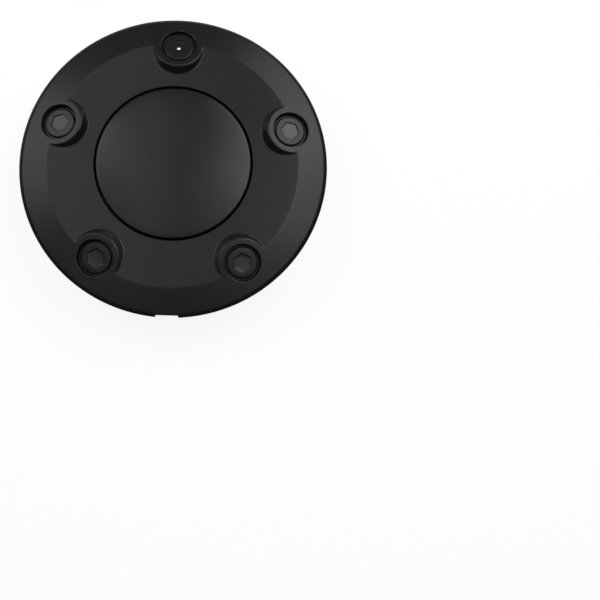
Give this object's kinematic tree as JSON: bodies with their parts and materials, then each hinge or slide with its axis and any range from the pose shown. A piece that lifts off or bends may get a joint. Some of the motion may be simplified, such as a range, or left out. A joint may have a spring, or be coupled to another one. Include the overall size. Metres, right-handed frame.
{
  "type": "wheel centre cap",
  "caption": "Black plastic wheel centre cap with bolt-shaped bosses, a snap-in centre disc, and sockets behind that clip over the heads of the wheel bolts.",
  "frame": {"origin": "on the axle line, in the plane of the open ends of the bolt head sockets", "axes": "+Z along the axle line, out of the cap's face; +Y through the boss with the puller hole; the pry notch is at -Y"},
  "size_m": [0.215, 0.2147, 0.0508],
  "materials": {
    "cap_plastic": "fine-grained satin",
    "disc_plastic": "fine-grained satin"
  },
  "bodies": {
    "root": {"cap_body": "cap_plastic", "centre_disc": "disc_plastic"}
  },
  "joints": []
}
